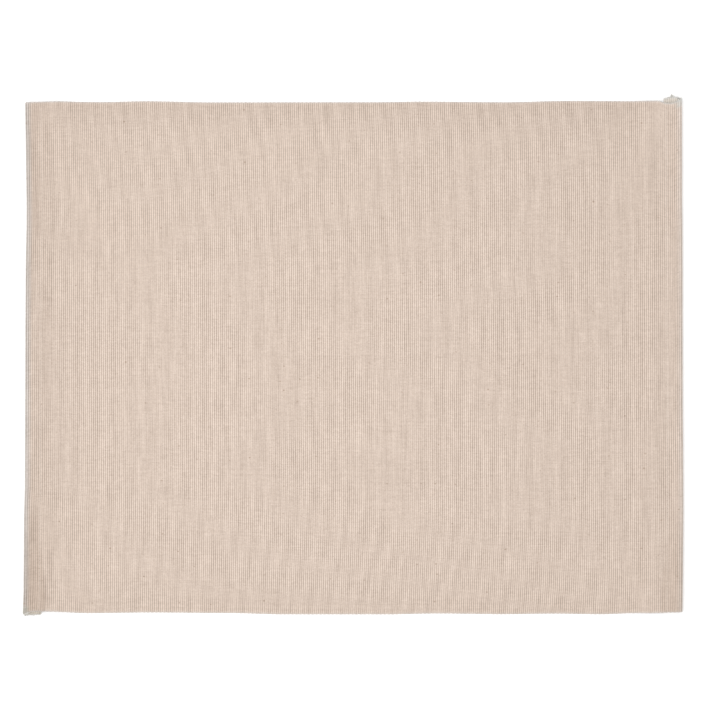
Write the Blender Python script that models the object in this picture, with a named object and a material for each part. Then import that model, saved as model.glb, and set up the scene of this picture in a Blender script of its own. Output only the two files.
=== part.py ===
"""Fabric placemat: one length of thick ribbed cotton, hemmed at both ends.

The cloth starts as a flat grid with a column of points at each station along its length. Every
column is carried to where that part of the cloth lies: flat on the table in the middle, then up
over the hem, round its outer fold, back underneath and in once more. A Solidify modifier gives
the folded sheet its thickness.

Metres, +Z up. +X runs along the mat from hem to hem and +Y across it from selvedge to selvedge.
The origin is under the middle of the finished mat, on the surface that the mat lies on.
"""

import math
from typing import NamedTuple

import bmesh
import bpy

MAT_LENGTH = 0.450  # from the outer fold of one hem to that of the other
MAT_WIDTH = 0.350  # from selvedge to selvedge
CLOTH = 0.0014  # thickness of the rib weave
LAYER_GAP = 0.0003  # air between two layers of a hem
HEM_WIDTH = 0.0125  # from the outer fold to the tucked one
RAW_EDGE_GAP = 0.0005  # left between the raw edge and the curve of the outer fold
RAMP_SLOPE = math.radians(14.0)  # steepest slope of the cloth where it comes down off a hem
FADE_IN = 0.080  # how far into the mat an unevenness of the outer fold dies away
SPILL_LEAD = 0.0055  # how far before the outer fold the cloth starts to widen

ROWS = 20  # grid steps from selvedge to selvedge
NATURAL_COTTON = (0.69, 0.57, 0.48, 1.0)

LAYER_PITCH = CLOTH + LAYER_GAP  # from the middle of one layer of a hem to the next
OUTER_RADIUS = LAYER_PITCH  # the outer fold wraps the tucked layer as well
TUCK_RADIUS = LAYER_PITCH / 2.0
RAMP_RADIUS = LAYER_PITCH / (1.0 - math.cos(RAMP_SLOPE))  # two such arcs climb two layers


class Run(NamedTuple):
    """A stretch of the path that the cloth follows from the middle of the mat to a raw end."""

    name: str
    length: float
    turn: float  # angle turned along it, anticlockwise seen from the front
    steps: int


class Sway(NamedTuple):
    """How far an edge of the mat stands outside its straight line at one place along it."""

    along: float
    out: float


class Spill(NamedTuple):
    """How far the turned-under layers of a hem reach past the front layer at one selvedge."""

    side: int  # +1 for the hem at +X, -1 for the one at -X
    past: float  # positive at the selvedge at +Y, negative at the one at -Y


class Station(NamedTuple):
    """One column of the grid, as it lies."""

    x: float
    z: float
    side: int
    under: float  # 0 on the front layer and 1 on the turned-under ones


# Each edge is followed from low to high along its own direction.
TOP_SELVEDGE = (
    Sway(-0.225, -0.0004),
    Sway(-0.200, 0.0003),
    Sway(-0.170, 0.0001),
    Sway(-0.140, 0.0007),
    Sway(-0.095, -0.0001),
    Sway(0.020, 0.0000),
    Sway(0.046, 0.0004),
    Sway(0.105, 0.0000),
    Sway(0.150, 0.0009),
    Sway(0.208, 0.0006),
    Sway(0.215, -0.0011),
    Sway(0.225, -0.0014),
)
BOTTOM_SELVEDGE = (
    Sway(-0.225, -0.0016),
    Sway(-0.210, -0.0014),
    Sway(-0.180, 0.0001),
    Sway(-0.140, -0.0004),
    Sway(-0.085, 0.0000),
    Sway(-0.045, 0.0009),
    Sway(0.025, 0.0009),
    Sway(0.060, 0.0003),
    Sway(0.105, 0.0008),
    Sway(0.140, 0.0004),
    Sway(0.170, 0.0008),
    Sway(0.200, -0.0002),
    Sway(0.225, -0.0010),
)
LEFT_FOLD = (
    Sway(-0.175, 0.0016),
    Sway(-0.160, 0.0011),
    Sway(-0.110, 0.0008),
    Sway(-0.085, 0.0002),
    Sway(0.015, -0.0001),
    Sway(0.060, -0.0004),
    Sway(0.100, -0.0010),
    Sway(0.140, -0.0005),
    Sway(0.175, 0.0000),
)
RIGHT_FOLD = (
    Sway(-0.175, 0.0000),
    Sway(-0.140, 0.0003),
    Sway(-0.105, 0.0006),
    Sway(-0.065, 0.0004),
    Sway(-0.030, 0.0001),
    Sway(0.080, 0.0000),
    Sway(0.110, -0.0003),
    Sway(0.175, -0.0004),
)
FOLD_OF_SIDE = {1: RIGHT_FOLD, -1: LEFT_FOLD}

# The cut ends of the cloth are a little wider than the rest, so at one corner of each hem the
# turned-under layers stick out. At the other corner they end level with the front layer.
SPILLS = (Spill(1, 0.0046), Spill(-1, -0.0026))


def ease(share):
    """A smooth step from 0 to 1 as share goes from 0 to 1."""
    share = min(max(share, 0.0), 1.0)
    return share * share * (3.0 - 2.0 * share)


def sway_at(rows, along):
    """The outward sway of an edge, eased from one row of its table to the next."""
    along = min(max(along, rows[0].along), rows[-1].along)
    for low, high in zip(rows, rows[1:]):
        if along <= high.along:
            share = (along - low.along) / (high.along - low.along)
            return low.out + (high.out - low.out) * ease(share)
    return rows[-1].out


def half_path():
    """The runs from the middle of the mat out to one hem and into its raw end."""
    ramp_length = 2.0 * RAMP_RADIUS * math.sin(RAMP_SLOPE)
    under_length = HEM_WIDTH - OUTER_RADIUS - TUCK_RADIUS - CLOTH
    return (
        Run("field", MAT_LENGTH / 2.0 - HEM_WIDTH - ramp_length, 0.0, 15),
        Run("rise", RAMP_RADIUS * RAMP_SLOPE, RAMP_SLOPE, 3),
        Run("crest", RAMP_RADIUS * RAMP_SLOPE, -RAMP_SLOPE, 3),
        Run("front", HEM_WIDTH - OUTER_RADIUS - CLOTH / 2.0, 0.0, 4),
        Run("outer fold", math.pi * OUTER_RADIUS, -math.pi, 8),
        Run("under", under_length, 0.0, 2),
        Run("tucked fold", math.pi * TUCK_RADIUS, -math.pi, 6),
        Run("raw end", under_length - RAW_EDGE_GAP, 0.0, 2),
    )


def half_stations(side):
    """Walks the half path and returns its stations, without the one in the middle of the mat."""
    x = 0.0
    z = CLOTH / 2.0
    heading = 0.0
    before_under = sum(run.length for run in half_path()[:5])
    widening = math.pi * OUTER_RADIUS + SPILL_LEAD
    distance = 0.0
    stations = []
    for run in half_path():
        bend = run.turn / run.steps
        arc = run.length / run.steps
        chord = arc if bend == 0.0 else 2.0 * arc / bend * math.sin(bend / 2.0)
        for _ in range(run.steps):
            heading += bend / 2.0
            x += chord * math.cos(heading)
            z += chord * math.sin(heading)
            heading += bend / 2.0
            distance += arc
            under = ease(1.0 + (distance - before_under) / widening)
            stations.append(Station(side * x, z, side, under))
    return stations


def cloth_stations():
    """Every column of the grid, from the raw end at -X to the raw end at +X."""
    middle = Station(0.0, CLOTH / 2.0, 1, 0.0)
    return half_stations(-1)[::-1] + [middle] + half_stations(1)


def spill_at(side, across):
    """How far a turned-under layer lies beyond the front layer at a place across the mat."""
    spill = sum(row.past for row in SPILLS if row.side == side)
    return spill * (0.5 + math.copysign(1.0, spill) * across)


def lying_point(station, across):
    """Where a point of the cloth lies, given its column and its place across, from -0.5 to 0.5."""
    top = MAT_WIDTH / 2.0 + sway_at(TOP_SELVEDGE, station.x)
    bottom = -MAT_WIDTH / 2.0 - sway_at(BOTTOM_SELVEDGE, station.x)
    y = bottom + (top - bottom) * (across + 0.5) + spill_at(station.side, across) * station.under
    from_fold = MAT_LENGTH / 2.0 - abs(station.x)
    out = sway_at(FOLD_OF_SIDE[station.side], y) * ease(1.0 - from_fold / FADE_IN)
    return station.x + station.side * out, y, station.z


def folded_sheet():
    """The cloth's middle surface, folded as it lies and centred on its own outline."""
    stations = cloth_stations()
    columns = len(stations) - 1
    sheet = bmesh.new()
    bmesh.ops.create_grid(sheet, x_segments=columns, y_segments=ROWS, size=0.5)
    for point in sheet.verts:
        station = stations[round((point.co.x + 0.5) * columns)]
        point.co = lying_point(station, point.co.y)
    for axis in (0, 1):
        places = [point.co[axis] for point in sheet.verts]
        middle = (min(places) + max(places)) / 2.0
        for point in sheet.verts:
            point.co[axis] -= middle
    return sheet


def cotton_material():
    """Plain undyed cotton."""
    material = bpy.data.materials.new("natural_cotton")
    material.use_nodes = True
    shader = material.node_tree.nodes["Principled BSDF"]
    shader.inputs["Base Color"].default_value = NATURAL_COTTON
    shader.inputs["Roughness"].default_value = 0.95
    shader.inputs["Metallic"].default_value = 0.0
    return material


def make_placemat():
    """The mat as one solid: the folded sheet with the weave's thickness."""
    sheet = folded_sheet()
    mesh = bpy.data.meshes.new("placemat_cloth")
    sheet.to_mesh(mesh)
    sheet.free()
    mesh.shade_smooth()
    mesh.materials.append(cotton_material())
    placemat = bpy.data.objects.new("placemat_cloth", mesh)
    bpy.context.scene.collection.objects.link(placemat)
    thickness = placemat.modifiers.new("weave_thickness", "SOLIDIFY")
    thickness.thickness = CLOTH
    thickness.offset = 0.0
    thickness.use_even_offset = True


def main():
    for obj in list(bpy.data.objects):
        bpy.data.objects.remove(obj, do_unlink=True)
    make_placemat()


main()
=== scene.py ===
"""Looks of the fabric placemat: a mat of thick natural cotton rib that lies flat and face up.

The mat is one length of cloth. Fat weft cords run across it as ribs, the warp covers them, and each
short end is turned under twice and sewn down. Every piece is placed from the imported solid's box.
Metres, +Z up, +X along the mat from hem to hem, +Y along the ribs from selvedge to selvedge.
"""

import logging
import math
from dataclasses import dataclass, field
from enum import Enum
from typing import Callable, NamedTuple, Sequence

import bmesh
import bpy
import numpy as np
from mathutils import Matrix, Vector


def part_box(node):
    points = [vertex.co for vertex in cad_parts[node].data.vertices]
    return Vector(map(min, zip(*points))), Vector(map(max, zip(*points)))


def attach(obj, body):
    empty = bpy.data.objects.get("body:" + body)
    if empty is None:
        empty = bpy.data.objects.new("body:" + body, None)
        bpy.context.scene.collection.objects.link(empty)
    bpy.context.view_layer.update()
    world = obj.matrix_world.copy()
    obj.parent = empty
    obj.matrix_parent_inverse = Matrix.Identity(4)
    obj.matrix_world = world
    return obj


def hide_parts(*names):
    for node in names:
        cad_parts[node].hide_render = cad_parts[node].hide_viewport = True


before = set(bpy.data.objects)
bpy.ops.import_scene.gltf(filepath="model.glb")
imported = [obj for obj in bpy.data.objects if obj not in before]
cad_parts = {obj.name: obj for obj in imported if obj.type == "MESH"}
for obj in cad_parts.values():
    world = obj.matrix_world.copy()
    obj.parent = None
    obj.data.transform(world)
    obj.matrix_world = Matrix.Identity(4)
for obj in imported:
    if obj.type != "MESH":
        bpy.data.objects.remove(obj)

CAD_NODE = "placemat_cloth"
BODY = "root"
WEAVE_MAP = "weave"
BAKE_MAP = "OFBake"
MM = 0.001
EDGE = 1e-6  # how close counts as lying on the rim of a map

Colour = tuple[float, float, float, float]
Place = tuple[float, float, float]
Pair = tuple[float, float]
Array = np.ndarray
Table = tuple[Pair, ...]  # places along an edge, rising, each with its amount

log = logging.getLogger("placemat")


class Face(Enum):
    """The two faces of the cloth, by the way each one looks from its middle."""

    RIGHT = 1.0
    WRONG = -1.0


class Stretch(NamedTuple):
    """A stretch of the cloth's path, bent at an even rate by the angle that it turns."""

    name: str
    length: float
    turn: float


def ease(share: Array | float) -> Array:
    """Steps smoothly from 0 to 1 as share goes from 0 to 1."""
    kept = np.clip(share, 0.0, 1.0)
    return kept * kept * (3.0 - 2.0 * kept)


def between(value: Array, low: float, high: float) -> Array:
    """Steps smoothly from 0 at low to 1 at high."""
    return ease((value - low) / (high - low))


def eased_table(table: Table, along: Array | float) -> Array:
    """Reads a table, easing from each of its places to the next.

    Args:
        table: the table.
        along: the places to read.

    Returns:
        The amount at each place.
    """
    places, amounts = np.array(table).T
    at = np.clip(along, places[0], places[-1])
    low = np.clip(np.searchsorted(places, at, side="right") - 1, 0, len(table) - 2)
    share = (at - places[low]) / (places[low + 1] - places[low])
    return amounts[low] + (amounts[low + 1] - amounts[low]) * ease(share)


def put_in_scene(name: str, data: bpy.types.ID) -> bpy.types.Object:
    """Makes an object and links it to the scene.

    Args:
        name: the object's name.
        data: its mesh, curve, light or camera.

    Returns:
        The object, at the origin.
    """
    made = bpy.data.objects.new(name, data)
    bpy.context.scene.collection.objects.link(made)
    return made


# ---- Shader maths ----


def maths(operation: str, reflected: bool = False) -> Callable[..., "Shade"]:
    """Makes a method of Shade that adds one kind of Math node.

    Args:
        operation: Blender's name for the operation.
        reflected: whether the value itself comes last.

    Returns:
        The method, which takes the operation's other values.
    """

    def method(self: "Shade", *others: "Shade | float") -> "Shade":
        """Adds the Math node and gives its value."""
        values = (*others, self) if reflected else (self, *others)
        return self.graph.node("ShaderNodeMath", {"operation": operation}, values).out()

    return method


class Shade:
    """A number that varies over a surface. Python's operators on it add Math nodes."""

    __add__ = __radd__ = maths("ADD")
    __sub__ = maths("SUBTRACT")
    __rsub__ = maths("SUBTRACT", reflected=True)
    __mul__ = __rmul__ = maths("MULTIPLY")
    __truediv__ = maths("DIVIDE")
    __pow__ = maths("POWER")
    floor = maths("FLOOR")
    fraction = maths("FRACT")
    size = maths("ABSOLUTE")
    cosine = maths("COSINE")
    root = maths("SQRT")
    greater = maths("MAXIMUM")

    def __init__(self, graph: "Graph", socket: bpy.types.NodeSocket) -> None:
        """Wraps one output socket of a graph's node."""
        self.graph = graph
        self.socket = socket

    def ramp(self, low: float, high: float) -> "Shade":
        """Steps smoothly from 0 at low to 1 at high."""
        settings = {"interpolation_type": "SMOOTHSTEP"}
        return self.graph.node("ShaderNodeMapRange", settings, [self, low, high, 0.0, 1.0]).out()


class Made:
    """A node that the graph has added, with its outputs as values."""

    def __init__(self, graph: "Graph", node: bpy.types.Node) -> None:
        """Keeps the node beside the graph that holds it."""
        self.graph = graph
        self.node = node

    def out(self, name: str | int = 0) -> Shade:
        """One of the node's outputs, by name or by place."""
        return Shade(self.graph, self.node.outputs[name])


class Graph:
    """The node tree of one material."""

    def __init__(self, name: str) -> None:
        """Starts a material that holds only its shader and its output.

        Args:
            name: the material's name.
        """
        self.material = bpy.data.materials.new(name)
        self.material.use_nodes = True
        self.tree = self.material.node_tree
        self.shader = self.tree.nodes["Principled BSDF"]

    def node(self, kind: str, settings: dict | None = None, inputs: object = ()) -> Made:
        """Adds any node.

        Args:
            kind: the node's type.
            settings: its own properties, such as an operation, which are set first.
            inputs: the values or links of its sockets, in order or by name.

        Returns:
            The node, ready to have its outputs read.
        """
        made = self.tree.nodes.new(kind)
        for name, value in (settings or {}).items():
            setattr(made, name, value)
        pairs = inputs.items() if isinstance(inputs, dict) else enumerate(inputs)
        for key, value in pairs:
            self.feed(made.inputs[key], value)
        return Made(self, made)

    def feed(self, socket: bpy.types.NodeSocket, value: object) -> None:
        """Links a varying value to a socket, or sets a constant on it."""
        if isinstance(value, Shade):
            self.tree.links.new(value.socket, socket)
        else:
            socket.default_value = value

    def mix(self, share: Shade | float, start: object, end: object, blend: str = "MIX") -> Shade:
        """Mixes two colours, with a share from 0 to 1 for how much of the second one shows."""
        settings = {"data_type": "RGBA", "blend_type": blend, "clamp_factor": True}
        return self.node("ShaderNodeMix", settings, {0: share, 6: start, 7: end}).out(2)

    def toned(self, colour: Colour, channels: Sequence[Shade]) -> Shade:
        """The colour with each of its channels made lighter or darker by a value of its own."""
        depth = self.node("ShaderNodeCombineColor", {"mode": "RGB"}, channels).out()
        return self.mix(1.0, colour, depth, "MULTIPLY")

    def point(self, across: Shade | float, along: Shade | float) -> Shade:
        """The vector of two values, to look a pattern up with."""
        return self.node("ShaderNodeCombineXYZ", None, [across, along, 0.0]).out()

    def lying(self) -> Shade:
        """Where the surface lies, in metres from the frame's origin."""
        return self.node("ShaderNodeTexCoord").out("Object")

    def bump(self, height: Shade, strength: float, distance: float) -> Shade:
        """The surface's normal once small relief is added to it."""
        inputs = {"Strength": strength, "Distance": distance, "Height": height}
        return self.node("ShaderNodeBump", None, inputs).out()

    def noise(self, where: Shade, scale: float, detail: float = 2.0) -> Shade:
        """Smooth noise around 0.5 that follows the given coordinates."""
        inputs = {"Vector": where, "Scale": scale, "Detail": detail, "Roughness": 0.5}
        return self.node("ShaderNodeTexNoise", {"noise_dimensions": "2D"}, inputs).out(0)

    def shuffle(self, across: Shade, along: Shade | float = 0.0) -> Shade:
        """A random number from 0 to 1 for each pair of whole numbers."""
        settings, inputs = {"noise_dimensions": "2D"}, {"Vector": self.point(across, along)}
        return self.node("ShaderNodeTexWhiteNoise", settings, inputs).out(0)

    def plain(self, **sockets: object) -> None:
        """Sets the shader's own sockets, by name with underscores for spaces."""
        for name, value in sockets.items():
            self.feed(self.shader.inputs[name.replace("_", " ")], value)


# ---- The cloth's shape ----


@dataclass(frozen=True)
class RibWeave:
    """The weave: fat weft cords side by side, each covered by every second end of the warp."""

    pitch: float = 1.379 * MM  # from one rib to the next
    thickness: float = 1.4 * MM  # over the crowns of the ribs on both faces
    furrow: float = 0.42 * MM  # depth of the furrow between two ribs, on each face
    grain: float = 0.81 * MM  # two warp ends: one covers a rib where its neighbour goes under
    roundness: float = 0.62  # lower is a flatter crown and a narrower furrow
    plumpness: float = 0.03 * MM  # how unevenly the cords are spun
    stray: float = 0.04 * MM  # how far a furrow strays from its even spacing

    def crown(self, phase: Array) -> Array:
        """Height of a rib from 0 in the furrow to 1 on its crown, by the place across it."""
        return np.abs(np.sin(np.pi * phase)) ** self.roundness


@dataclass(frozen=True)
class HemPath:
    """The path of the cloth from the middle of the mat out to a hem and into its raw end."""

    mat_length: float = 450.0 * MM  # between the outer folds of the two hems
    hem_width: float = 12.5 * MM  # from the outer fold to the tucked one
    cloth: float = 1.4 * MM
    layer_gap: float = 0.3 * MM
    raw_edge_gap: float = 0.5 * MM
    ramp_slope: float = math.radians(14.0)
    seam_inset: float = 10.4 * MM  # from the outer fold to the row of stitches
    samples: int = 24001

    def stretches(self) -> tuple[Stretch, ...]:
        """Works out the straight and bent stretches.

        Returns:
            The stretches in order, from the middle of the mat outwards.
        """
        pitch = self.cloth + self.layer_gap
        ramp_radius = pitch / (1.0 - math.cos(self.ramp_slope))
        ramp = 2.0 * ramp_radius * math.sin(self.ramp_slope)
        under = self.hem_width - 1.5 * pitch - self.cloth  # less the radii of both folds
        return (
            Stretch("field", self.mat_length / 2.0 - self.hem_width - ramp, 0.0),
            Stretch("rise", ramp_radius * self.ramp_slope, self.ramp_slope),
            Stretch("crest", ramp_radius * self.ramp_slope, -self.ramp_slope),
            Stretch("front", self.hem_width - pitch - self.cloth / 2.0, 0.0),
            Stretch("outer fold", math.pi * pitch, -math.pi),
            Stretch("under", under, 0.0),
            Stretch("tucked fold", math.pi * pitch / 2.0, -math.pi),
            Stretch("raw end", under - self.raw_edge_gap, 0.0),
        )

    @property
    def fold(self) -> float:
        """Distance along the cloth from the middle of the mat to where an outer fold starts."""
        return self.start_of("outer fold")

    def half_length(self) -> float:
        """Length of the cloth from the middle of the mat to a raw end."""
        return sum(stretch.length for stretch in self.stretches())

    def start_of(self, name: str) -> float:
        """Distance along the cloth from the middle of the mat to where a stretch starts."""
        place = [stretch.name for stretch in self.stretches()].index(name)
        return sum(stretch.length for stretch in self.stretches()[:place])

    def trace(self, along: Array) -> tuple[Array, Array, Array, Array]:
        """Follows the path on both sides of the mat.

        Args:
            along: signed distances along the cloth from the middle of the mat.

        Returns:
            The x and z of the cloth's middle surface there, and the x and z of its normal.
        """
        ends = np.cumsum([0.0] + [stretch.length for stretch in self.stretches()])
        turned = np.cumsum([0.0] + [stretch.turn for stretch in self.stretches()])
        fine = np.linspace(0.0, ends[-1], self.samples)
        heading = np.interp(fine, ends, turned)
        middles = (heading[1:] + heading[:-1]) / 2.0
        x, z = (
            np.concatenate([[0.0], np.cumsum(part(middles) * fine[1])]) for part in (np.cos, np.sin)
        )
        distance = np.abs(along)
        side = np.where(along < 0.0, -1.0, 1.0)
        angle = np.interp(distance, fine, heading)
        placed_x = side * np.interp(distance, fine, x)
        placed_z = np.interp(distance, fine, z) + self.cloth / 2.0
        return placed_x, placed_z, -side * np.sin(angle), np.cos(angle)


@dataclass(frozen=True)
class Lie:
    """How the cloth lies: its uneven outline, the wide ends of its hems and the bow of its ribs."""

    mat_width: float = 350.0 * MM
    fade_in: float = 80.0 * MM  # how far into the mat an unevenness of the outer fold dies away
    spill_left: float = 2.6 * MM  # how far the layers under the hem at -X stick out at -Y
    spill_right: float = 4.6 * MM  # how far those under the hem at +X stick out at +Y
    spill_lead: float = 5.5 * MM  # how far before the outer fold the cloth starts to widen
    spill_peaks: Pair = (2.5 * MM, 5.5 * MM)  # widest place, from the fold
    spill_reaches: Pair = (20.0 * MM, 12.1 * MM)  # how slowly it narrows inwards
    spill_blunt: float = 25.0 * MM  # how slowly it narrows towards the fold
    top: Table = (  # how far each edge stands outside its straight line, in metres
        (-0.225, -0.0004), (-0.200, 0.0003), (-0.170, 0.0001), (-0.140, 0.0007),
        (-0.095, -0.0001), (0.020, 0.0000), (0.046, 0.0004), (0.105, 0.0000),
        (0.150, 0.0009), (0.208, 0.0006), (0.215, -0.0011), (0.225, -0.0014),
    )
    bottom: Table = (
        (-0.225, -0.0016), (-0.210, -0.0014), (-0.180, 0.0001), (-0.140, -0.0004),
        (-0.085, 0.0000), (-0.045, 0.0009), (0.025, 0.0009), (0.060, 0.0003),
        (0.105, 0.0008), (0.140, 0.0004), (0.170, 0.0008), (0.200, -0.0002),
        (0.225, -0.0010),
    )
    left: Table = (
        (-0.175, 0.0016), (-0.160, 0.0011), (-0.110, 0.0008), (-0.085, 0.0002),
        (0.015, -0.0001), (0.060, -0.0004), (0.100, -0.0010), (0.140, -0.0005),
        (0.175, 0.0000),
    )
    right: Table = (
        (-0.175, 0.0000), (-0.140, 0.0003), (-0.105, 0.0006), (-0.065, 0.0004),
        (-0.030, 0.0001), (0.080, 0.0000), (0.110, -0.0003), (0.175, -0.0004),
    )
    press: Table = (  # share of a hem's height that the sewing takes away, by the place along it
        (-0.175, 0.25), (-0.100, 0.22), (-0.060, 0.13), (0.030, 0.13),
        (0.070, 0.20), (0.175, 0.20),
    )
    bow_far: Pair = (2.5 * MM, 1.6 * MM)  # lean to -X at +Y, left and right
    bow_near: Pair = (1.2 * MM, 2.6 * MM)  # the same at -Y
    ripple: Pair = (0.08 * MM, 0.30 * MM)  # the small waves of the ribs between
    steady: Pair = (140.0 * MM, 215.0 * MM)  # over which the hems come to hold the ribs straight
    bow_from: Pair = (50.0 * MM, 60.0 * MM)  # where the lean starts, towards +Y and -Y
    bow_over: Pair = (125.0 * MM, 115.0 * MM)  # how far on from there it has its full depth
    merge: float = 150.0 * MM  # how far past the middle the lean of one end reaches
    long_wave: Pair = (21.5 * MM, 85.0 * MM)  # one radian of the ripple, across and along the mat
    short_wave: Pair = (10.5 * MM, 50.0 * MM)
    short_share: float = 0.3
    sewn: Pair = (3.0 * MM, 9.5 * MM)  # over which the stitches come to press, from the fold
    freed: Pair = (13.5 * MM, 33.5 * MM)  # over which they stop pressing

    def across(self, x: Array, share: Array, under: Array, half: float) -> Array:
        """The y of a point.

        Args:
            x: its place along a mat with straight edges.
            share: its share of the way between the selvedges, from -0.5 to 0.5.
            under: 0 on the front layer and 1 on the turned-under ones.
            half: half the mat's length.

        Returns:
            Where the point lies across the mat.
        """
        far = self.mat_width / 2.0 + eased_table(self.top, x)
        near = -self.mat_width / 2.0 - eased_table(self.bottom, x)
        left, right = self.spill_left * (share - 0.5), self.spill_right * (share + 0.5)
        peak = np.where(x < 0.0, *self.spill_peaks)
        from_fold = half - np.abs(x)
        inwards = np.where(x < 0.0, *self.spill_reaches)
        reach = np.where(from_fold > peak, inwards, self.spill_blunt)
        ragged = 1.0 - ((from_fold - peak) / reach) ** 2
        spill = under * ragged * np.where(x < 0.0, left, right)
        return near + (far - near) * (share + 0.5) + spill

    def along(self, x: Array, y: Array, half: float) -> Array:
        """The x of a point once the outer folds sway and the ribs bow.

        Args:
            x: where the point would lie on a mat with straight edges.
            y: its place across the mat.
            half: half the mat's length.

        Returns:
            Where the point lies.
        """
        out = np.where(x < 0.0, -eased_table(self.left, y), eased_table(self.right, y))
        swayed = out * ease(1.0 - (half - np.abs(x)) / self.fade_in)
        return x + swayed + self.bow(x, y)

    def bow(self, x: Array, y: Array) -> Array:
        """Bows the ribs towards their ends and ripples them in between.

        Args:
            x: where a point lies along the mat.
            y: its place across the mat.

        Returns:
            How far the point is carried along the mat.
        """
        free = 1.0 - between(np.abs(x), *self.steady)
        share = between(x, -self.merge, self.merge)
        pairs = (self.bow_far, self.bow_near, self.ripple)
        far_depth, near_depth, ripple = (left + (right - left) * share for left, right in pairs)
        far = np.clip((y - self.bow_from[0]) / self.bow_over[0], 0.0, None) ** 2 * far_depth
        near = np.clip((-y - self.bow_from[1]) / self.bow_over[1], 0.0, None) ** 2 * near_depth
        long = np.sin(y / self.long_wave[0] + x / self.long_wave[1])
        short = np.sin(y / self.short_wave[0] - x / self.short_wave[1] + 1.0)
        return free * (ripple * (long + self.short_share * short) - far - near)

    def pressed(self, z: Array, from_fold: Array, y: Array) -> Array:
        """The z of a point of a hem or its ramp once the stitches pull the layers together."""
        held = between(from_fold, *self.sewn) * (1.0 - between(from_fold, *self.freed))
        return z * (1.0 - eased_table(self.press, y) * held)


@dataclass
class MatCloth:
    """The cloth of the mat, with every rib modelled, folded along its path."""

    weave: RibWeave = field(default_factory=RibWeave)
    path: HemPath = field(default_factory=HemPath)
    lie: Lie = field(default_factory=Lie)
    columns_per_rib: int = 4
    even_rows: int = 25  # grid steps between the close rows along the selvedges
    edge_rows: tuple[float, ...] = (0.0, 0.25 * MM, 0.75 * MM, 1.8 * MM)  # from a selvedge
    edge_round: float = 0.75 * MM  # how far in from a selvedge its rounding reaches
    edge_thin: float = 0.30  # share of the cloth's thickness that is left at the very edge
    loop_out: float = 0.06 * MM  # how far a weft cord's turn stands outside the selvedge
    loop_gap: float = 0.14 * MM  # how far the notch between two turns goes in
    loop_roundness: float = 0.7  # lower is a squarer turn
    firm_edge: float = 1.8 * MM  # width of the selvedge, where the furrows are shallower
    firm_share: float = 0.4  # share of a furrow's depth that is left at the very edge
    stray_knots: int = 18
    bake_margin: float = 0.008  # left bare round each strip of the map for baking
    bake_rim: float = 0.004  # room for the thickness of the cloth beside each strip
    seed: int = 11
    centre: Pair = (0.0, 0.0)

    @property
    def ribs(self) -> int:
        """How many ribs the length holds: an even number, so that one furrow is the middle."""
        return 2 * round(self.path.half_length() / self.weave.pitch)

    @property
    def flat_length(self) -> float:
        """Length of the cloth as it was cut, with both hems opened out."""
        return 2.0 * self.path.half_length()

    def row_shares(self) -> Array:
        """Spaces the rows of the grid, close along the selvedges and even between them.

        Returns:
            The place of each row between the selvedges, from -0.5 to 0.5.
        """
        inset = np.array(self.edge_rows) / self.lie.mat_width
        last = 2.0 * inset[-1]
        even = np.linspace(-0.5 + last, 0.5 - last, self.even_rows + 1)
        return np.concatenate([inset - 0.5, even, 0.5 - inset[::-1]])

    def place(self, along: Array, share: Array, lift: Array) -> Array:
        """Carries points of the flat cloth to where they lie.

        Args:
            along: signed distance along the cloth from the middle of the mat.
            share: place between the selvedges, from -0.5 to 0.5.
            lift: height above the cloth's middle surface, towards its right face.

        Returns:
            One row of x, y and z for each point.
        """
        x, z, normal_x, normal_z = self.path.trace(along)
        x = x + self.wander(along, share) * normal_z
        start = self.path.fold - self.lie.spill_lead
        under = between(np.abs(along), start, self.path.start_of("under"))
        half = self.path.mat_length / 2.0
        y = self.lie.across(x, share, under, half)
        placed_z = self.lie.pressed(z + normal_z * lift, half - np.abs(x), y)
        placed_x = self.lie.along(x, y, half) + normal_x * lift
        return np.stack([placed_x - self.centre[0], y - self.centre[1], placed_z], axis=1)

    def wander(self, along: Array, share: Array) -> Array:
        """How far the furrows stray from their even spacing, each in its own way along its length.

        Args:
            along: signed distance along the cloth from the middle of the mat.
            share: place between the selvedges, from -0.5 to 0.5.

        Returns:
            The stray at each point, along the cloth.
        """
        draw = np.random.default_rng(self.seed + 1)
        knots = draw.normal(0.0, self.weave.stray, (self.ribs + 2, self.stray_knots + 1))
        rib = self.ribs_before(along)
        row = np.clip((share + 0.5) * (self.stray_knots - 1), 0.0, self.stray_knots - 1)
        left, low = np.floor(rib).astype(int), np.floor(row).astype(int)
        aside, up = rib - left, ease(row - low)
        here, beyond = (
            knots[line, low] + (knots[line, low + 1] - knots[line, low]) * up
            for line in (left, left + 1)
        )
        return here + (beyond - here) * aside

    def lift_of(self, along: Array, share: Array, side: Array) -> Array:
        """Raises a face off the cloth's middle surface, with its ribs and its round edges.

        Args:
            along: signed distance along the cloth from the middle of the mat.
            share: place between the selvedges, from -0.5 to 0.5.
            side: 1 for the right face and -1 for the wrong one.

        Returns:
            The height of each point above the middle surface, towards the right face.
        """
        phase = self.ribs_before(along)
        crown = self.weave.crown(phase)
        cords = np.random.default_rng(self.seed).uniform(-self.weave.plumpness, 0.0, self.ribs)
        plump = cords[np.clip(phase.astype(int), 0, self.ribs - 1)]
        inside = (0.5 - np.abs(share)) * self.lie.mat_width
        deep = self.firm_share + (1.0 - self.firm_share) * ease(inside / self.firm_edge)
        hollow = self.weave.furrow * deep * (1.0 - crown)
        height = self.weave.thickness / 2.0 - hollow + plump * crown
        bent = np.sqrt(1.0 - (1.0 - np.clip(inside / self.edge_round, 0.0, 1.0)) ** 2)
        return side * height * (self.edge_thin + (1.0 - self.edge_thin) * bent)

    def rib_step(self) -> float:
        """From one rib to the next, so that a whole number of them fills the cloth."""
        return self.flat_length / self.ribs

    def ribs_before(self, along: Array) -> Array:
        """How many ribs lie between the raw end at -X and a place along the cloth."""
        return (along + self.flat_length / 2.0) / self.rib_step()

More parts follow.
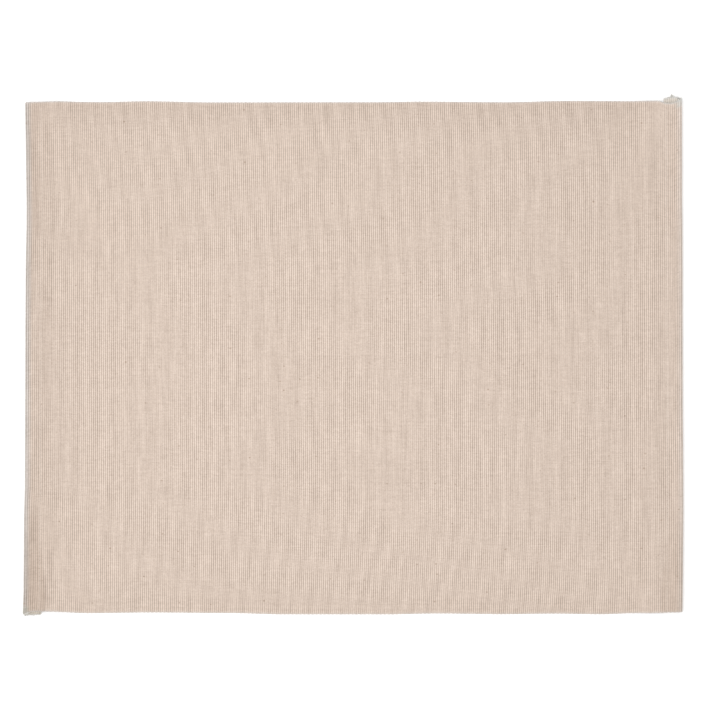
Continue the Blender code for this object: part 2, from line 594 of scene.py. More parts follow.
    def edge_shift(self, along: Array, share: Array) -> Array:
        """How far the selvedge goes out round the turns of the cords and in between them.

        A cord turns back at each selvedge, so there the ribs are joined in pairs, and the pairs at
        one selvedge are offset by a rib from those at the other.

        Args:
            along: signed distance along the cloth from the middle of the mat.
            share: place between the selvedges, from -0.5 to 0.5.

        Returns:
            How far each point moves, as a share of the width.
        """
        pair = self.ribs_before(along) / 2.0 + np.where(share > 0.0, 0.0, 0.5)
        loop = np.abs(np.sin(np.pi * pair)) ** self.loop_roundness
        at_edge = 1.0 - ease((0.5 - np.abs(share)) * self.lie.mat_width / self.edge_round)
        out = self.loop_out * loop - self.loop_gap * (1.0 - loop)
        return np.sign(share) * at_edge * out / self.lie.mat_width

    def flat_slab(self) -> tuple[bpy.types.Mesh, Array, Array, Array]:
        """Makes the two faces of the cloth as a flat closed slab of grid cells.

        Returns:
            The mesh, and for each of its points the distance along the cloth, the share of the way
            across, and which face it is on.
        """
        shares = self.row_shares()
        columns = self.ribs * self.columns_per_rib
        slab = bmesh.new()
        bmesh.ops.create_grid(slab, x_segments=columns, y_segments=len(shares) - 1, size=0.5)
        faces = list(slab.faces)
        raised = bmesh.ops.extrude_face_region(slab, geom=faces, use_keep_orig=True)
        upper = [item for item in raised["geom"] if isinstance(item, bmesh.types.BMVert)]
        bmesh.ops.translate(slab, verts=upper, vec=(0.0, 0.0, 1.0))
        bmesh.ops.recalc_face_normals(slab, faces=list(slab.faces))
        mesh = bpy.data.meshes.new("mat_cloth")
        slab.to_mesh(mesh)
        slab.free()
        flat = np.empty(len(mesh.vertices) * 3)
        mesh.vertices.foreach_get("co", flat)
        flat = flat.reshape(-1, 3)
        row = np.rint((flat[:, 1] + 0.5) * (len(shares) - 1)).astype(int)
        column = np.rint((flat[:, 0] + 0.5) * columns)
        along = (column / columns - 0.5) * self.flat_length
        side = np.where(flat[:, 2] > 0.5, Face.RIGHT.value, Face.WRONG.value)
        return mesh, along, shares[row], side

    def build(self) -> bpy.types.Object:
        """Builds the cloth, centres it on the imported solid's box and gives it its maps.

        Returns:
            The cloth.
        """
        mesh, along, share, side = self.flat_slab()
        lift = self.lift_of(along, share, side)
        points = self.place(along, share + self.edge_shift(along, share), lift)
        low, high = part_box(CAD_NODE)
        found = (points.min(axis=0) + points.max(axis=0)) / 2.0
        self.centre = (found[0] - (low.x + high.x) / 2.0, found[1] - (low.y + high.y) / 2.0)
        points[:, :2] -= self.centre
        mesh.vertices.foreach_set("co", points.ravel())
        mesh.shade_smooth()
        self.add_maps(mesh, along, share, side)
        mesh.update()
        log.info("mat_cloth: %d ribs, %d faces", self.ribs, len(mesh.polygons))
        return put_in_scene("mat_cloth", mesh)

    def add_maps(self, mesh: bpy.types.Mesh, along: Array, share: Array, side: Array) -> None:
        """Adds the map that the weave follows and the one that finishes are baked on.

        The first is the flat cloth itself, in metres. The second lays the two halves of each face
        in four strips across the square, so that a rib gets as many dots as it can.

        Args:
            mesh: the cloth's mesh.
            along: distance along the cloth of each of its points.
            share: share of the way across of each point.
            side: which face each point is on.
        """
        corner = np.empty(len(mesh.loops), np.int32)
        mesh.loops.foreach_get("vertex_index", corner)
        along, share, side = along[corner], share[corner], side[corner]
        u = along + self.flat_length / 2.0
        v = (share + 0.5) * self.lie.mat_width
        weave_map = mesh.uv_layers.new(name=WEAVE_MAP)
        weave_map.uv.foreach_set("vector", np.stack([u, v], axis=1).ravel())
        quads = np.stack([along, side], axis=1).reshape(-1, 4, 2)
        to_the_right = np.repeat(quads[:, :, 0].mean(axis=1) > 0.0, 4)
        on_rim = np.repeat(np.abs(quads[:, :, 1].mean(axis=1)) < 0.5, 4)
        wrong = np.where(on_rim, 0.0, side < 0.0)
        over_rim = np.where(on_rim & (side < 0.0), self.bake_rim, 0.0)
        half = self.flat_length / 2.0
        from_end = np.where(to_the_right, half - along, half + along) / half
        at_end = on_rim & (from_end < EDGE)
        at_selvedge = on_rim & (np.abs(share) > 0.5 - EDGE)
        strip = 2.0 * wrong + to_the_right
        room = 1.0 - 2.0 * self.bake_margin
        bake_u = self.bake_margin + (1.0 - from_end) * room + np.where(at_end, over_rim, 0.0)
        tall = 0.25 - 2.0 * self.bake_margin
        bake_v = strip / 4.0 + self.bake_margin + (share + 0.5) * tall
        bake_v += np.where(at_selvedge, np.sign(share) * over_rim, 0.0)
        bake_map = mesh.uv_layers.new(name=BAKE_MAP)
        bake_map.uv.foreach_set("vector", np.stack([bake_u, bake_v], axis=1).ravel())


@dataclass
class Thread:
    """A fine round yarn, drawn as many short open curves and turned into one mesh."""

    name: str
    radius: float
    runs: list[Array] = field(default_factory=list)

    def build(self) -> bpy.types.Object:
        """Makes one mesh from every run of points collected so far.

        Returns:
            The yarn.
        """
        curve = bpy.data.curves.new(self.name, "CURVE")
        curve.dimensions = "3D"
        curve.bevel_depth = self.radius
        curve.bevel_resolution = 1
        curve.use_fill_caps = True
        for run in self.runs:
            spline = curve.splines.new("POLY")
            spline.points.add(len(run) - 1)
            weighted = np.concatenate([run, np.ones((len(run), 1))], axis=1)
            spline.points.foreach_set("co", weighted.ravel())
        drawn = put_in_scene(self.name, curve)
        graph = bpy.context.evaluated_depsgraph_get()
        mesh = bpy.data.meshes.new_from_object(drawn.evaluated_get(graph))
        bpy.data.objects.remove(drawn)
        bpy.data.curves.remove(curve)
        mesh.name = self.name
        mesh.shade_smooth()
        log.info("%s: %d runs, %d faces", self.name, len(self.runs), len(mesh.polygons))
        return put_in_scene(self.name, mesh)


@dataclass
class HemStitching:
    """A row of lockstitch along each hem, seen on the front and on the back of the mat."""

    cloth: MatCloth
    stitch: float = 2.8 * MM
    gap: float = 0.35 * MM  # between two stitches, where the thread goes down through the hole
    radius: float = 0.15 * MM
    bed: float = 0.22 * MM  # how deep the thread's middle lies below the crowns of the ribs
    dive: float = 0.42 * MM  # how much deeper a stitch's ends go
    dip: float = 0.10 * MM  # how much deeper its shoulders lie
    belly: float = 0.02 * MM  # how much higher its middle lies
    ends: float = 1.5 * MM  # left free at each selvedge
    shape_at: tuple[float, ...] = (0.0, 0.06, 0.2, 0.5, 0.8, 0.94, 1.0)  # shares of its length

    def furrow_near(self, x: float, stretch: str) -> float:
        """Finds the furrow of a layer that lies closest to a place along the mat.

        Args:
            x: the place, between the middle of the mat and its end at +X.
            stretch: the name of the layer's stretch of the path.

        Returns:
            The furrow's distance along the cloth.
        """
        path, step = self.cloth.path, self.cloth.rib_step()
        start = path.start_of(stretch)
        end = start + next(item.length for item in path.stretches() if item.name == stretch)
        furrows = np.arange(math.ceil(start / step), math.floor(end / step) + 1) * step
        placed = path.trace(furrows)[0]
        return float(furrows[np.argmin(np.abs(placed - x))])

    def row(self, along: float, half_a_stitch: bool) -> list[Array]:
        """Lays one row of stitches in a furrow.

        Args:
            along: the furrow's signed distance along the cloth.
            half_a_stitch: whether the row starts half a stitch late, as on the back of a seam.

        Returns:
            One run of points for each stitch.
        """
        width = self.cloth.lie.mat_width
        start = self.ends + (self.stitch / 2.0 if half_a_stitch else 0.0)
        rise = np.array([-self.dive, -self.dip, 0.0, self.belly, 0.0, -self.dip, -self.dive])
        lift = self.cloth.weave.thickness / 2.0 - self.bed + rise
        shape = self.gap / 2.0 + np.array(self.shape_at) * (self.stitch - self.gap)
        flat = np.full(len(self.shape_at), along)
        count = int((width - self.ends - start) / self.stitch)
        across = (start + number * self.stitch + shape for number in range(count))
        return [self.cloth.place(flat, y / width - 0.5, lift) for y in across]

    def build(self) -> bpy.types.Object:
        """Sews both hems.

        Returns:
            All the stitches as one piece.
        """
        path = self.cloth.path
        seam = path.mat_length / 2.0 - path.seam_inset
        thread = Thread("hem_stitching", self.radius)
        for side in (-1.0, 1.0):
            thread.runs += self.row(side * self.furrow_near(seam, "front"), False)
            thread.runs += self.row(side * self.furrow_near(seam, "under"), True)
        return thread.build()


@dataclass
class FrayedEnds:
    """Loose fibres where the cut ends of the cloth stick out of the hems, and a few elsewhere."""

    cloth: MatCloth
    radius: float = 0.06 * MM
    lean: float = 0.55  # how far fibres stray from straight out, in radians
    curl: Pair = (0.5, 0.4)  # how differently they curl, and how much of it at each step
    droop: Pair = (-0.1, 0.12)  # how much they rise at each step, and how unevenly, as slopes
    steps: int = 5
    tuft: int = 190  # fibres at each end that sticks out
    tuft_depth: float = 0.004  # how far in from the edge their roots reach, as a share of the width
    tuft_lift: Pair = (-0.5, 0.5)  # height of their roots, as shares of the cloth's thickness
    tuft_shares: Pair = (0.15, 1.0)  # their lengths, as shares of the longest
    lock: int = 30  # fibres of the lock that has come loose there, twisted to a point
    lock_places: Pair = (1.8 * MM, 6.8 * MM)  # from the outer folds, left and right
    lock_lengths: Pair = (1.2 * MM, 2.3 * MM)
    lock_width: float = 0.95 * MM
    lock_root: float = 0.4995  # place of its roots, where the selvedge is at 0.5
    lock_lift: Pair = (-0.4, 0.4)
    lock_drop: float = 0.3 * MM  # how far the point hangs below the roots
    lock_point: float = 0.16 * MM  # how blunt the point is
    lock_bulge: float = 0.22 * MM
    lip: int = 120  # short ones that lie from the front layer over the end that sticks out
    lip_width: Pair = (11.0 * MM, 1.0 * MM)  # how far they go from the fold, inwards and round it
    lip_at_fold: int = 40  # how many of them are near the fold instead
    lip_spread: Pair = (-0.5 * MM, 0.6 * MM)  # the middle of those, from the fold, and their spread
    lip_root: float = 0.4988
    lip_lift: Pair = (0.0, 0.45)
    lip_lengths: Pair = (0.5 * MM, 1.2 * MM)
    lip_longer: float = 1.5  # times as long, near the fold
    stray: int = 130  # fibres along both selvedges
    stray_root: float = 0.4985
    stray_lift: Pair = (-0.3, 0.3)
    stray_shares: Pair = (0.1, 0.6)
    longest: float = 2.0 * MM
    seed: int = 5

    def __post_init__(self) -> None:
        """Starts the draws that every fibre is made from."""
        self.draw = np.random.default_rng(self.seed)

    @property
    def lowest(self) -> float:
        """How high a fibre's middle lies on the table."""
        return self.radius * 1.5

    def fibre(self, root: Array, out: float, length: float) -> Array:
        """Draws one fibre that curls away from the cloth and down to the table.

        Args:
            root: where the fibre starts.
            out: +1 to leave towards +Y and -1 towards -Y.
            length: the fibre's length.

        Returns:
            The fibre's points.
        """
        heading = self.draw.normal(0.0, self.lean)
        curl = self.draw.normal(0.0, self.curl[0]) * self.curl[1]
        points = [np.array([root[0], root[1], max(root[2], self.lowest)])]
        for _ in range(self.steps):
            heading += curl
            rise = self.draw.normal(*self.droop)
            move = np.array([math.sin(heading), out * math.cos(heading), rise])
            point = points[-1] + move * length / self.steps
            point[2] = max(point[2], self.lowest)
            points.append(point)
        return np.array(points)

    def roots(self, along: Array, share: Array | float, lift: Array) -> Array:
        """Where fibres leave the cloth, with their heights as shares of its thickness."""
        share = np.broadcast_to(share, along.shape)
        return self.cloth.place(along, share, lift * self.cloth.weave.thickness)

    def tuft_runs(self, side: float) -> list[Array]:
        """Draws the tuft where the turned-under layers of a hem stick out.

        Args:
            side: +1 for the hem at +X, whose layers stick out at +Y, and -1 for the other.

        Returns:
            One run of points for each fibre.
        """
        path = self.cloth.path
        start = path.fold - self.cloth.lie.spill_lead / 2.0
        along = self.draw.uniform(start, path.half_length(), self.tuft)
        share = side * (0.5 - self.draw.uniform(0.0, self.tuft_depth, self.tuft))
        roots = self.roots(side * along, share, self.draw.uniform(*self.tuft_lift, self.tuft))
        lengths = self.longest * self.draw.uniform(*self.tuft_shares, self.tuft) ** 2.0
        return [self.fibre(root, side, long) for root, long in zip(roots, lengths)]

    def lock_runs(self, side: float) -> list[Array]:
        """Draws the lock of fibres that has come loose from an end that sticks out.

        Args:
            side: +1 for the hem at +X and -1 for the other.

        Returns:
            One run of points for each fibre.
        """
        path = self.cloth.path
        from_fold, length = (
            pair[0 if side < 0.0 else 1] for pair in (self.lock_places, self.lock_lengths)
        )
        turned = path.start_of("under")
        fold_x = path.mat_length / 2.0 - path.trace(np.array([turned]))[0][0]
        along = turned + from_fold - fold_x + self.draw.normal(0.0, self.lock_width, self.lock)
        lift = self.draw.uniform(*self.lock_lift, self.lock)
        roots = self.roots(side * along, side * self.lock_root, lift)
        tip = roots.mean(axis=0) + np.array([0.0, side * length, -self.lock_drop])
        steps = np.linspace(0.0, 1.0, self.steps + 1)[:, None]
        runs = []
        for root in roots:
            end = tip + self.draw.normal(0.0, self.lock_point, 3)
            bow = self.draw.normal(0.0, self.lock_bulge, 3) * np.sin(steps * math.pi)
            run = root + (end - root) * steps + bow
            run[:, 2] = np.maximum(run[:, 2], self.lowest)
            runs.append(run)
        return runs

    def lip_runs(self, side: float) -> list[Array]:
        """Draws the fuzz of the front layer's selvedge, beside the end that sticks out.

        Args:
            side: +1 for the hem at +X and -1 for the other.

        Returns:
            One run of points for each fibre.
        """
        fold = self.cloth.path.fold
        along = self.draw.uniform(fold - self.lip_width[0], fold + self.lip_width[1], self.lip)
        along[: self.lip_at_fold] = fold + self.draw.normal(*self.lip_spread, self.lip_at_fold)
        lift = self.draw.uniform(*self.lip_lift, self.lip)
        roots = self.roots(side * along, side * self.lip_root, lift)
        lengths = self.draw.uniform(*self.lip_lengths, self.lip)
        lengths[: self.lip_at_fold] *= self.lip_longer
        return [self.fibre(root, side, long) for root, long in zip(roots, lengths)]

    def stray_runs(self) -> list[Array]:
        """Draws the few fibres that stand out of the selvedges of the front layer.

        Returns:
            One run of points for each fibre.
        """
        edge = self.cloth.path.fold
        along = self.draw.uniform(-edge, edge, self.stray)
        out = self.draw.choice([-1.0, 1.0], self.stray)
        lift = self.draw.uniform(*self.stray_lift, self.stray)
        roots = self.roots(along, out * self.stray_root, lift)
        lengths = self.longest * self.draw.uniform(*self.stray_shares, self.stray)
        return [self.fibre(root, way, long) for root, way, long in zip(roots, out, lengths)]

    def build(self) -> bpy.types.Object:
        """Draws every fibre.

        Returns:
            All the fibres as one piece.
        """
        fibres = Thread("frayed_ends", self.radius)
        for side in (-1.0, 1.0):
            for runs in (self.tuft_runs, self.lock_runs, self.lip_runs):
                fibres.runs += runs(side)
        fibres.runs += self.stray_runs()
        return fibres.build()


# ---- Finishes ----


@dataclass(frozen=True)
class WearAndPaintedLight:
    """Where the mat is worn, and where shade and light are painted on it, as masks over the flat
    cloth.
    """

    cloth: MatCloth
    signed: Shade  # distance along the cloth from the middle of the mat
    across: Shade  # distance from the selvedge at -Y
    halves_meet: float = 10.0 * MM  # half the width over which one half gives way to the other
    # painted shade along the four margins, darker towards the edges
    margin_shade_ends: Pair = (0.054, 0.022)  # beside the left and right hems
    margin_shade_left: Pair = (23.0 * MM, 14.0 * MM)  # over which it comes, from the start of the fold
    margin_shade_right: Pair = (36.0 * MM, 20.0 * MM)
    margin_shade_sides: Pair = (0.022, 0.044)  # beside the near and far selvedges
    margin_shade_near: Pair = (24.0 * MM, 2.0 * MM)  # over which it comes, from the selvedge
    margin_shade_far: Pair = (27.0 * MM, 3.0 * MM)
    unshaded_end: Pair = (30.0 * MM, 14.0 * MM)  # the same for the corner without painted shade
    unshaded_side: Pair = (60.0 * MM, 0.0)
    fold_middle: float = 2.0 * MM  # the line that a fold's rub and painted light follow, past the fold's start
    fold_mark_reach: Pair = (1.0 * MM, 5.0 * MM)  # over which the rub and the painted light die away from that line
    felted_lead: float = 4.0 * MM  # how far before the fold the felted ends begin
    felted_rim: Pair = (1.0 * MM, 2.0 * MM)  # how far in past the spill they begin, and over what
    # painted shadow along the inner edge of the left hem
    hem_edge_shadow_width: Pair = (0.2 * MM, 1.1 * MM)  # over which it dies away to each side
    hem_edge_shadow_reach: Pair = (55.0 * MM, 20.0 * MM)  # over which it comes, from the near selvedge
    # painted shade on the front layer of each hem, towards the hem's ends
    hem_shade_left: float = 0.48
    hem_shade_right: float = 0.34
    hem_shade_line: float = 8.5 * MM  # where the painted hem shade stops, in from the start of the fold
    hem_shade_rim: Pair = (-1.0 * MM, 1.5 * MM)  # over which it comes, past that line
    hem_shade_turn: float = 6.0 * MM  # how far round the fold it dies away
    hem_shade_near: float = 110.0 * MM  # how far up from the near selvedge it dies away
    hem_shade_far: Pair = (200.0 * MM, 300.0 * MM)  # over which it comes back
    hem_shade_again: float = 0.3  # and how much of it
    hem_shade_slant: float = 4.0 * MM  # how much further in the soiling reaches at the corner
    slant_reach: Pair = (60.0 * MM, 8.0 * MM)

    def right_half(self) -> Shade:
        """The half of the mat at +X, as a mask."""
        return self.signed.ramp(-self.halves_meet, self.halves_meet)

    def selvedges(self) -> Shade:
        """The selvedges, as a mask."""
        middle = self.cloth.lie.mat_width / 2.0
        return (self.across - middle).size().ramp(middle - self.cloth.firm_edge, middle)

    def felted_ends(self) -> Shade:
        """Finds the worn ends of the turned-under layers that stick out of the hems.

        Returns:
            The ends, as a mask.
        """
        middle, fold = self.cloth.lie.mat_width / 2.0, self.cloth.path.fold
        inner = middle - self.cloth.lie.spill_right - self.felted_rim[0]
        side = self.right_half() * 2.0 - 1.0
        outside = ((self.across - middle) * side).ramp(inner, inner + self.felted_rim[1])
        return outside * self.signed.size().ramp(fold - self.felted_lead, fold)

    def fold_edges(self) -> Shade:
        """The outer folds of the hems, as a mask for the rub of the table and the iron, and for the
        painted light on the right one.
        """
        off = (self.signed.size() - (self.cloth.path.fold + self.fold_middle)).size()
        return 1.0 - off.ramp(*self.fold_mark_reach)

    def hem_painted_shade(self) -> Shade:
        """Paints shade on the front layers of the hems towards their ends.

        Returns:
            How much painted shade a place gets, from 0 to 1.
        """
        fold, right = self.cloth.path.fold, self.right_half()
        on_hem = self.past_hem_line().ramp(*self.hem_shade_rim)
        on_front = 1.0 - self.signed.size().ramp(fold, fold + self.hem_shade_turn)
        near = 1.0 - self.across.ramp(0.0, self.hem_shade_near)
        far = self.across.ramp(*self.hem_shade_far) * self.hem_shade_again
        left_share = (1.0 - right) * (near + far) * self.hem_shade_left
        return on_hem * on_front * (left_share + right * near * self.hem_shade_right)

    def past_hem_line(self) -> Shade:
        """How far a place lies outside the line along a hem that the painted hem shade stops at."""
        slant = self.across.ramp(*self.slant_reach) * self.hem_shade_slant
        return self.signed.size() + slant - (self.cloth.path.fold - self.hem_shade_line)

    def hem_edge_shadow(self) -> Shade:
        """Painted shadow along that line, at the inner edge of the left hem towards its near end,
        as a mask.
        """
        on_line = 1.0 - self.past_hem_line().size().ramp(*self.hem_edge_shadow_width)
        return on_line * self.across.ramp(*self.hem_edge_shadow_reach) * (1.0 - self.right_half())

    def margin_painted_shade(self) -> Shade:
        """Paints shade along the four margins, darker towards the edges, but not in one corner.

        Returns:
            How much darker the painted shade makes a place.
        """
        fold = self.cloth.path.fold
        from_left, from_right = self.signed + fold, fold - self.signed
        from_far = self.cloth.lie.mat_width - self.across
        left = from_left.ramp(*self.margin_shade_left) * self.margin_shade_ends[0]
        right = from_right.ramp(*self.margin_shade_right) * self.margin_shade_ends[1]
        near = self.across.ramp(*self.margin_shade_near) * self.margin_shade_sides[0]
        far = from_far.ramp(*self.margin_shade_far) * self.margin_shade_sides[1]
        unshaded_corner = from_right.ramp(*self.unshaded_end) * from_far.ramp(*self.unshaded_side)
        return left.greater(right).greater(near.greater(far)) * (1.0 - unshaded_corner)


@dataclass(frozen=True)
class NaturalCotton:
    """Undyed cotton in the rib weave: warp grains on the ribs, uneven yarn and seed flecks, with
    painted shade in the furrows and between the grains, and painted shade and light along the hems
    and margins.
    """

    cloth: MatCloth
    colour: Colour = (0.629, 0.522, 0.446, 1.0)
    depth_hue: Place = (1.0, 1.09, 1.17)  # what is dark is warmer as well
    fleck_colour: Colour = (0.30, 0.21, 0.15, 1.0)
    rubbed_colour: Colour = (0.91, 1.00, 1.09, 1.0)
    felted_near: Colour = (0.86, 0.91, 0.89, 1.0)
    felted_far: Colour = (0.96, 1.06, 1.11, 1.0)
    # painted shade on the hems, a little browner
    hem_shade_colour: Colour = (0.74, 0.70, 0.66, 1.0)
    fleck_spread: Place = (85.0, 110.0, 1.0)  # places for flecks in a metre, along and across
    fleck_free: Pair = (0.72, 0.76)  # the share of those places that stay free
    fleck_size: Pair = (0.015, 0.05)  # the smallest, and how much larger some are
    fleck_rim: Pair = (0.6, 1.4)  # where one fades, as shares of its size
    fleck_depth: Pair = (0.15, 0.50)  # the faintest, and how much darker some are
    # painted shade in the furrows between the ribs, on top of the shade that their relief gets
    furrow_painted_shade: float = 0.52
    furrow_width: float = 4.0  # higher is narrower
    furrow_change: float = 1.35  # how unevenly the painted shade darkens each furrow along its length
    furrow_shade_scale: float = 40.0  # changes in a metre of furrow
    firm_share: float = 0.6  # how much of its painted shade a furrow loses where the cloth is firm
    # painted shade where one warp grain meets the next
    grain_painted_shade: float = 0.06
    end_shade: float = 0.038  # one warp end against the next
    end_run_shade: float = 0.16  # thick and thin places along a warp end
    end_run_scale: float = 90.0
    spin_shade: float = 0.08  # one grain against the next
    slub_shade: float = 0.19  # thick and thin places along a cord
    slub_scale: float = 45.0
    run_shade: float = 0.024  # long runs of slightly lighter and darker cords
    run_scale: Pair = (0.14, 4.0)  # changes in a cord, and in a metre along the cords
    fuzz_scale: float = 2600.0
    bar_shade: float = 0.022  # faint bars of closer and looser weft
    bar_width: float = 12.5 * MM
    right_fold_painted_light: float = 0.06  # how much painted light the outer fold of the right hem gets, as it faces away from the key light
    hem_edge_shadow_depth: float = 0.07  # painted shadow along the inner edge of the left hem
    rubbed: Pair = (0.6, 0.3)  # selvedges and right fold, as shares of how rubbed the left one is
    relief: Place = (0.6, 0.3, 0.8)  # how much the grains, the fuzz and the slubs stand up
    relief_depth: Pair = (0.6, 0.2 * MM)  # strength and depth of it all

    def material(self) -> bpy.types.Material:
        """Builds the finish, which follows the cloth's weave map.

        Returns:
            The material.
        """
        graph = Graph("natural_cotton_rib")
        where = graph.node("ShaderNodeUVMap", {"uv_map": WEAVE_MAP}).out()
        flat = graph.node("ShaderNodeSeparateXYZ", None, [where])
        along, across = flat.out(0), flat.out(1)
        rib = along / self.cloth.rib_step()
        number, nearest = rib.floor(), (rib + 0.5).floor()
        end = across / self.cloth.weave.grain + (number * 0.5).fraction()
        warp_end = (across / self.cloth.weave.grain).floor()
        grain = (end.fraction() * 2.0 - 1.0).size()
        furrow = (rib.fraction() * 2.0 - 1.0).size() ** self.furrow_width
        # The factors below keep the lines off the whole numbers, where noise is flat.
        slub = self.unevenness(graph, number * 0.77 + 0.31, across * self.slub_scale)
        furrow_unevenness = self.unevenness(graph, nearest * 0.83 + 0.47, across * self.furrow_shade_scale)
        run = self.unevenness(graph, rib * self.run_scale[0], across * self.run_scale[1])
        end_run = self.unevenness(graph, warp_end * 0.9 + 0.2, along * self.end_run_scale)
        # masks for the wear and for the painted shade and light
        wear_and_light = WearAndPaintedLight(self.cloth, along - self.cloth.flat_length / 2.0, across)
        at_right, folded = wear_and_light.right_half(), wear_and_light.fold_edges()
        selvedge, felted = wear_and_light.selvedges(), wear_and_light.felted_ends()
        # how dark the painted shade in each furrow is, changing along it
        depth = (1.0 + (furrow_unevenness - 0.5) * self.furrow_change) * self.furrow_painted_shade
        firm = selvedge.greater(felted) * self.firm_share
        tone = (
            1.0
            # painted shade in the furrows
            - furrow * depth * (1.0 - firm)
            # painted shade where one warp grain meets the next
            - (grain**3.0) * self.grain_painted_shade
            + (graph.shuffle((end * 2.0).floor()) - 0.5) * self.end_shade
            + (graph.shuffle(number, end.floor()) - 0.5) * self.spin_shade
            + (slub - 0.5) * self.slub_shade
            + (run - 0.5) * self.run_shade
            + (end_run - 0.5) * self.end_run_shade
            # painted light on the outer fold of the right hem
            + folded * at_right * self.right_fold_painted_light
            + self.bars(graph, rib) * self.bar_shade
            # painted shade along the margins
            - wear_and_light.margin_painted_shade()
            # painted shadow along the inner edge of the left hem
            - wear_and_light.hem_edge_shadow() * self.hem_edge_shadow_depth
        )
        colour = graph.toned(self.colour, [tone**power for power in self.depth_hue])
        rubbed_fold = folded * (1.0 - at_right * (1.0 - self.rubbed[1]))
        for share, tint in (
            # painted shade on the hems
            (wear_and_light.hem_painted_shade(), self.hem_shade_colour),
            (selvedge * self.rubbed[0] + rubbed_fold, self.rubbed_colour),
            (felted * (1.0 - at_right), self.felted_near),
            (felted * at_right, self.felted_far),
        ):
            colour = graph.mix(share, colour, tint, "MULTIPLY")
        flecked = graph.mix(self.flecks(graph, where), colour, self.fleck_colour)
        fuzz = graph.noise(where, self.fuzz_scale, 3.0)
        round_grain = (1.0 - grain * grain).root()
        height = round_grain * self.relief[0] + fuzz * self.relief[1] + slub * self.relief[2]
        normal = graph.bump(height, *self.relief_depth)
        graph.plain(Base_Color=flecked, Normal=normal, Roughness=0.96, Specular_IOR_Level=0.18)
        graph.plain(Sheen_Weight=0.12, Sheen_Roughness=0.6)
        return graph.material

    def unevenness(self, graph: Graph, line: Shade, place: Shade) -> Shade:
        """A change around 0.5 along each cord or furrow, which its neighbours don't share."""
        return graph.noise(graph.point(line, place), 1.0, 3.0)

    def bars(self, graph: Graph, rib: Shade) -> Shade:
        """Crosses the ribs with an even lattice, which makes bars that wander as the ribs bow.

        Args:
            graph: the finish's graph.
            rib: how many ribs lie before a place.

        Returns:
            The bars, from -1 to 1.
        """
        lying_x = graph.node("ShaderNodeSeparateXYZ", None, [graph.lying()]).out(0)
        lattice = 1.0 / self.cloth.rib_step() - 1.0 / self.bar_width
        return ((rib - lying_x * lattice) * (2.0 * math.pi)).cosine()

    def flecks(self, graph: Graph, where: Shade) -> Shade:
        """Scatters bits of cotton seed.

        Args:
            graph: the finish's graph.
            where: the place on the flat cloth.

        Returns:
            The bits, as a mask.
        """
        stretch = {"Vector": where, "Scale": self.fleck_spread}
        stretched = graph.node("ShaderNodeMapping", None, stretch).out()
        settings = {"voronoi_dimensions": "2D", "feature": "F1"}
        cells = graph.node("ShaderNodeTexVoronoi", settings, {"Vector": stretched, "Scale": 1.0})
        parts = graph.node("ShaderNodeSeparateColor", None, [cells.out("Color")])
        size = parts.out(1) * self.fleck_size[1] + self.fleck_size[0]
        near = 1.0 - (cells.out("Distance") / size).ramp(*self.fleck_rim)
        chosen = parts.out(0).ramp(*self.fleck_free)
        return near * chosen * (parts.out(2) * self.fleck_depth[1] + self.fleck_depth[0])


@dataclass(frozen=True)
class SewingThread:
    """Plain undyed two-ply sewing thread."""

    colour: Colour = (0.60, 0.52, 0.455, 1.0)
    ply: float = 0.5 * MM
    slant: float = math.radians(35.0)
    lay: float = 3.2  # thicknesses of a ply in one turn of the twist
    shade: Pair = (0.85, 0.20)  # painted shade in the grooves of the twist: the darkest, and how much lighter the rest is
    relief: Pair = (0.5, 0.06 * MM)  # strength and depth

    def material(self) -> bpy.types.Material:
        """Builds the finish.

        Returns:
            The material.
        """
        graph = Graph("sewing_thread")
        turn = {"Vector": graph.lying(), "Rotation": (0.0, 0.0, self.slant)}
        slanted = graph.node("ShaderNodeMapping", None, turn).out()
        wave = {"Vector": slanted, "Scale": 1.0 / (self.ply * self.lay), "Distortion": 0.4}
        twist = graph.node("ShaderNodeTexWave", {"bands_direction": "Y"}, wave).out("Fac")
        # painted shade in the grooves of the twist
        toned = graph.toned(self.colour, [twist * self.shade[1] + self.shade[0]] * 3)
        normal = graph.bump(twist, *self.relief)
        graph.plain(Base_Color=toned, Normal=normal, Roughness=0.75, Specular_IOR_Level=0.3)
        return graph.material


@dataclass(frozen=True)
class LooseFibre:
    """Single cotton fibres, greyer than the yarn."""

    colour: Colour = (0.69, 0.67, 0.63, 1.0)
    patches: float = 900.0  # changes in a metre
    shade: Pair = (0.75, 0.50)

    def material(self) -> bpy.types.Material:
        """Builds the finish.

        Returns:
            The material.
        """
        graph = Graph("loose_fibre")
        patchy = graph.noise(graph.lying(), self.patches)
        toned = graph.toned(self.colour, [patchy * self.shade[1] + self.shade[0]] * 3)
        graph.plain(Base_Color=toned, Roughness=0.9, Specular_IOR_Level=0.2)
        return graph.material


@dataclass(frozen=True)
class PaleFloor:
    """The plain pale surface that the mat lies on."""

    colour: Colour = (0.96, 0.96, 0.955, 1.0)

    def material(self) -> bpy.types.Material:
        """Builds the finish.

        Returns:
            The material.
        """
        graph = Graph("pale_floor")
        graph.plain(Base_Color=self.colour, Roughness=0.9, Specular_IOR_Level=0.1)
        return graph.material


# ---- The studio ----


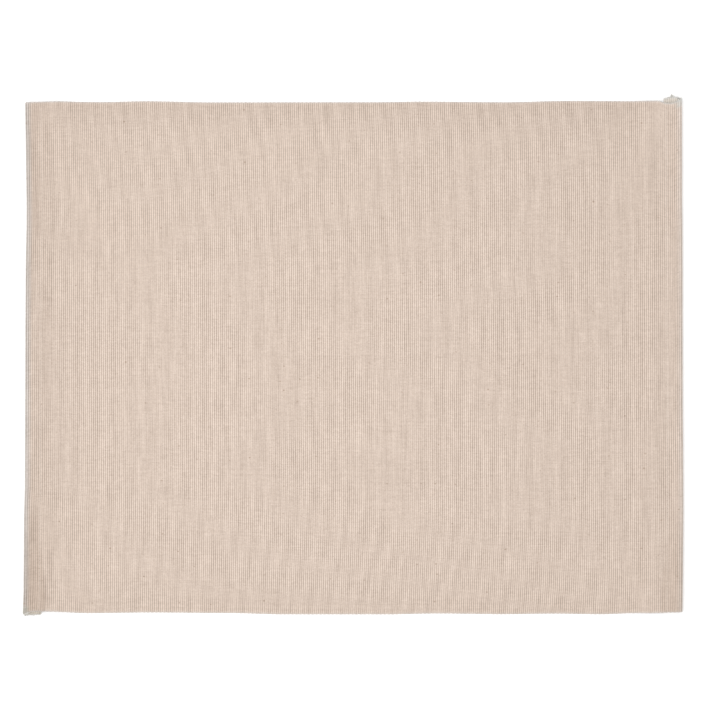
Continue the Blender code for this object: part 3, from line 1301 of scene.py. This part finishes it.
@dataclass
class Studio:
    """A pale floor, soft light from above and a long lens that looks straight down."""

    lens: float = 100.0
    sensor: float = 36.0
    view_width: float = 482.7 * MM  # what the camera sees at the height of the cloth
    aim: Pair = (-0.4 * MM, 2.7 * MM)
    cloth_height: float = 2.0 * MM
    floor_side: float = 6.0
    key_place: Place = (-2.90, -0.70, 2.60)
    key_side: float = 2.4
    key_power: float = 24.0
    fill_place: Place = (-0.09, 0.01, 0.90)
    fill_side: float = 0.5
    fill_power: float = 4.2
    sky: float = 0.80

    def lay_floor(self) -> None:
        """Lays the floor just under the mat."""
        ground = bmesh.new()
        bmesh.ops.create_grid(ground, x_segments=1, y_segments=1, size=self.floor_side / 2.0)
        mesh = bpy.data.meshes.new("floor")
        ground.to_mesh(mesh)
        ground.free()
        mesh.materials.append(PaleFloor().material())
        floor = put_in_scene("floor", mesh)

    def hang_light(self, name: str, place: Place, side: float, power: float) -> None:
        """Hangs one square soft light, turned to the middle of the mat.

        Args:
            name: the light's name.
            place: where it hangs.
            side: the length of its sides.
            power: its power in watts.
        """
        data = bpy.data.lights.new(name, "AREA")
        data.shape = "SQUARE"
        data.size = side
        data.energy = power
        light = put_in_scene(name, data)
        light.location = place
        light.rotation_euler = (-Vector(place)).to_track_quat("-Z", "Y").to_euler()
        light.visible_camera = False

    def set_sky(self) -> None:
        """Lights the room evenly from all round."""
        world = bpy.data.worlds.new("studio")
        world.use_nodes = True
        background = world.node_tree.nodes["Background"]
        background.inputs["Color"].default_value = (1.0, 1.0, 1.0, 1.0)
        background.inputs["Strength"].default_value = self.sky
        bpy.context.scene.world = world

    def set_camera(self) -> None:
        """Stands the camera over the mat, looking straight down with +Y up in its picture."""
        data = bpy.data.cameras.new("camera")
        data.lens = self.lens
        data.sensor_width = self.sensor
        camera = put_in_scene("camera", data)
        distance = self.view_width * self.lens / self.sensor
        camera.location = (*self.aim, self.cloth_height + distance)
        bpy.context.scene.camera = camera

    def build(self) -> None:
        """Sets the whole studio up."""
        self.lay_floor()
        self.hang_light("key", self.key_place, self.key_side, self.key_power)
        self.hang_light("fill", self.fill_place, self.fill_side, self.fill_power)
        self.set_sky()
        self.set_camera()
        view = bpy.context.scene.view_settings
        view.view_transform = "Standard"
        view.look = "None"


def dress(piece: bpy.types.Object, finish: bpy.types.Material) -> None:
    """Gives a piece its finish and lets it ride on the mat's one body.

    Args:
        piece: the piece.
        finish: its material.
    """
    piece.data.materials.append(finish)
    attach(piece, BODY)


def main() -> None:
    logging.basicConfig(level=logging.INFO, format="%(name)s: %(message)s")
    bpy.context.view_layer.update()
    Studio().build()
    cloth_maker = MatCloth()
    cloth = cloth_maker.build()
    dress(cloth, NaturalCotton(cloth_maker).material())
    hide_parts(CAD_NODE)
    stitching = HemStitching(cloth_maker).build()
    dress(stitching, SewingThread().material())
    fray = FrayedEnds(cloth_maker).build()
    dress(fray, LooseFibre().material())
    cloth_maker.flat_length


if __name__ == "__main__":
    main()
